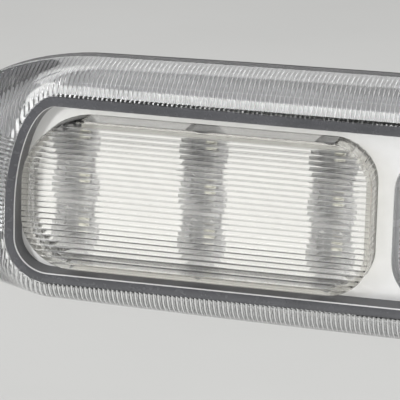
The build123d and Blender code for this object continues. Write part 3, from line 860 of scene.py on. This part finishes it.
# name: tones, roughness, scale of the grain, its height in mm, metallic
MOULDED = {
    "dark_trim": ((0.05, 0.051, 0.055), (0.068, 0.069, 0.075), (0.22, 0.3), 500, 0.003, 0),
    # Painted highlight: the band's rounded inner edge is coloured near white.
    "trim_edge_highlight": ((0.66, 0.66, 0.67), (0.78, 0.78, 0.79), (0.12, 0.2), 500, 0.002, 0),
    "trim_wall": ((0.075, 0.076, 0.082), (0.1, 0.101, 0.108), (0.16, 0.22), 300, 0.002, 0),
    "bright_reflector": ((0.6, 0.6, 0.61), (0.8, 0.8, 0.81), (0.2, 0.34), 220, 0.25, 0.25),
    "black_housing": ((0.022, 0.022, 0.024), (0.04, 0.04, 0.042), (0.42, 0.6), 1200, 0.06, 0),
    "black_foam": ((0.018, 0.018, 0.018), (0.045, 0.045, 0.045), (0.8, 0.95), 1600, 0.25, 0),
    "black_rubber": ((0.014, 0.014, 0.015), (0.03, 0.03, 0.03), (0.5, 0.68), 900, 0.04, 0),
    "zinc_screw": ((0.62, 0.63, 0.64), (0.78, 0.78, 0.77), (0.22, 0.38), 1300, 0.03, 1),
    "grey_connector": ((0.2, 0.21, 0.22), (0.26, 0.27, 0.28), (0.4, 0.55), 1100, 0.05, 0),
    "grey_socket": ((0.24, 0.24, 0.25), (0.32, 0.32, 0.33), (0.42, 0.58), 1100, 0.05, 0),
    "tinned_brass": ((0.66, 0.64, 0.58), (0.8, 0.78, 0.72), (0.2, 0.34), 1500, 0.02, 1),
    "filament_wire": ((0.3, 0.3, 0.31), (0.45, 0.45, 0.46), (0.3, 0.45), 3000, 0.02, 1),
}


def make_looks():
    """Every look, by the name of its slot, and two more for the inside of the dark band: the painted
    highlight on its edge, and its wall.
    """
    looks = {name: moulded(name + "_look", *numbers) for name, numbers in MOULDED.items()}
    looks["clear_lens"] = clear_plastic("clear_lens_look", 0.015)
    looks["clear_optic"] = clear_plastic("clear_optic_look", 0.012, fluted=True)
    looks["clear_brake"] = clear_plastic("clear_brake_look", 0.015)
    looks["silver_paint"] = silver_bezel("silver_paint_look")
    looks["white_reflector"] = well_plate("white_reflector_look")
    looks["circuit_board"] = circuit("circuit_board_look")
    looks["led_package"] = led_chip("led_package_look")
    looks["red_glass"] = red_glass("red_glass_look")
    return looks


# ---- the parts that stay as the frame gives them ----
def dress_nodes(looks):
    """Gives each CAD node the look of its slot."""
    slots = {part["node"]: part["material_slot"] for part in frame["record"]["subparts"]}
    for name, part in frame["nodes"].items():
        part.data.materials.clear()
        part.data.materials.append(looks[slots[name]])


def stand_in(piece, body, slot, *nodes):
    """Puts a new piece in the place of CAD nodes."""
    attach(piece, body)
    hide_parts(*nodes)


def mirrored(piece, name):
    """The same piece on the lamp's other side."""
    mesh = piece.data.copy()
    mesh.name = name
    mesh.transform(Matrix.Diagonal((-1, 1, 1, 1)))
    mesh.flip_normals()
    return placed(name, mesh)


# ---- studio ----
VIEW_AZIMUTH = math.radians(14)
VIEW_ELEVATION = math.radians(16)
VIEW_ROLL = math.radians(1.5)
VIEW_DISTANCE = 0.93
VIEW_LENS = 279
AIM_RIGHT = 1.2 * MM
AIM_UP = 1.6 * MM
FLOOR_SIZE = 12.0
FLOOR_LEVEL = -0.55

# name: place, size, power in watts, seen in glossy reflections
LIGHTS = {
    "key": ((-0.86, -1.1, 0.28), (0.16, 0.16), 13, False),
    "overhead": ((-0.2, 2.1, 1.3), (3.8, 0.9), 20, True),
    "strip": ((-0.15, -0.35, 1.3), (1.6, 0.05), 0.7, True),
    "under_fill": ((-0.1, -0.9, -0.45), (1.2, 0.4), 5, False),
    "floor_wash": ((-0.6, 4.0, 2.4), (2.0, 2.0), 26, False),
    "right_fill": ((1.4, -0.8, 0.5), (0.8, 1.2), 5, True),
}


def add_camera():
    """Close view of the left cargo lamp from a little to the right and above."""
    target = Vector((CARGO_LOW.x * 0.5 + CARGO_HIGH.x * 0.5 + AIM_RIGHT, FACE_Y, AIM_UP))
    back = Vector((
        math.sin(VIEW_AZIMUTH) * math.cos(VIEW_ELEVATION),
        -math.cos(VIEW_AZIMUTH) * math.cos(VIEW_ELEVATION),
        math.sin(VIEW_ELEVATION),
    ))
    side = Vector((math.cos(VIEW_AZIMUTH), math.sin(VIEW_AZIMUTH), 0))
    up = side.cross(-back)
    right = side * math.cos(VIEW_ROLL) + up * math.sin(VIEW_ROLL)
    top = up * math.cos(VIEW_ROLL) - side * math.sin(VIEW_ROLL)
    data = bpy.data.cameras.new("camera")
    data.lens = VIEW_LENS
    data.clip_start = 0.01
    camera = placed("camera", data)
    turn = Matrix((right, top, back)).transposed().to_4x4()
    camera.matrix_world = Matrix.Translation(target + back * VIEW_DISTANCE) @ turn
    bpy.context.scene.camera = camera


def add_light(name, place, size, power, mirrored_in_gloss):
    """Flat lamp that faces the origin."""
    data = bpy.data.lights.new(name, "AREA")
    data.shape = "RECTANGLE"
    data.size, data.size_y = size
    data.energy = power
    light = placed(name, data)
    light.visible_glossy = mirrored_in_gloss
    light.location = place
    light.rotation_euler = (-Vector(place)).to_track_quat("-Z", "Y").to_euler()


def add_world():
    """Soft surround, brighter above than below."""
    world = bpy.data.worlds.new("studio")
    world.use_nodes = True
    tree = world.node_tree
    tree.nodes.clear()
    place = node(tree, "ShaderNodeTexCoord").outputs["Generated"]
    height = node(tree, "ShaderNodeSeparateXYZ", {"Vector": place}).outputs["Z"]
    rise = spread(tree, height, 0, 1, -1, 1)
    sky = tones(tree, rise, (0.3, 0.3, 0.3), (0.85, 0.85, 0.85), 0.35, 0.85)
    background = node(tree, "ShaderNodeBackground", {"Color": sky, "Strength": 0.9})
    node(tree, "ShaderNodeOutputWorld", {"Surface": background.outputs[0]})
    bpy.context.scene.world = world


def add_floor():
    """Matt grey floor, well below the part."""
    made, tree = new_look("studio_floor_look")
    shader = node(tree, "ShaderNodeBsdfPrincipled", {
        "Base Color": tones(tree, noise(tree, 3), (0.54, 0.54, 0.528), (0.56, 0.56, 0.548)),
        "Roughness": 0.9,
    })
    close(tree, shader.outputs[0])
    mesh = bpy.data.meshes.new("studio_floor")
    signs = ((-1, -1), (1, -1), (1, 1), (-1, 1))
    corners = [(x * FLOOR_SIZE, y * FLOOR_SIZE, FLOOR_LEVEL) for x, y in signs]
    mesh.from_pydata(corners, [], [(0, 1, 2, 3)])
    mesh.materials.append(made)
    placed("studio_floor", mesh)


def set_picture():
    """Plain view transform, no caustics, and enough bounces for the nested clear parts."""
    scene = bpy.context.scene
    scene.view_settings.view_transform = "Standard"
    scene.cycles.caustics_reflective = False
    scene.cycles.caustics_refractive = False
    scene.cycles.max_bounces = 14
    scene.cycles.transmission_bounces = 12
    scene.cycles.transparent_max_bounces = 24


def add_pieces(looks):
    """The finer meshes that stand for five CAD nodes."""
    stand_in(outer_lens(looks["clear_lens"]), "root", "clear_lens", "outer_lens")
    ring = band(looks["dark_trim"], looks["trim_edge_highlight"], looks["trim_wall"])
    stand_in(ring, "root", "dark_trim", "trim_band")
    box = CARGO_LOW, CARGO_HIGH
    clear = looks["clear_optic"]
    left = cap("cargo_cap_left", box, CARGO_LEFT_CORNERS, EVEN_CORNERS, True, 2, None, clear)
    stand_in(left, "root", "clear_optic", "cargo_lens_left")
    stand_in(mirrored(left, "cargo_cap_right"), "root", "clear_optic", "cargo_lens_right")
    box = BRAKE_LOW, BRAKE_HIGH
    clear = looks["clear_brake"]
    middle = cap("brake_cap", box, EVEN_CORNERS, EVEN_CORNERS, False, PILLOW_COLUMNS, pillows, clear)
    stand_in(middle, "root", "clear_optic", "brake_lens")


def build_scene():
    looks = make_looks()
    dress_nodes(looks)
    add_pieces(looks)
    add_camera()
    for name, numbers in LIGHTS.items():
        add_light(name, *numbers)
    add_world()
    add_floor()
    set_picture()


build_scene()
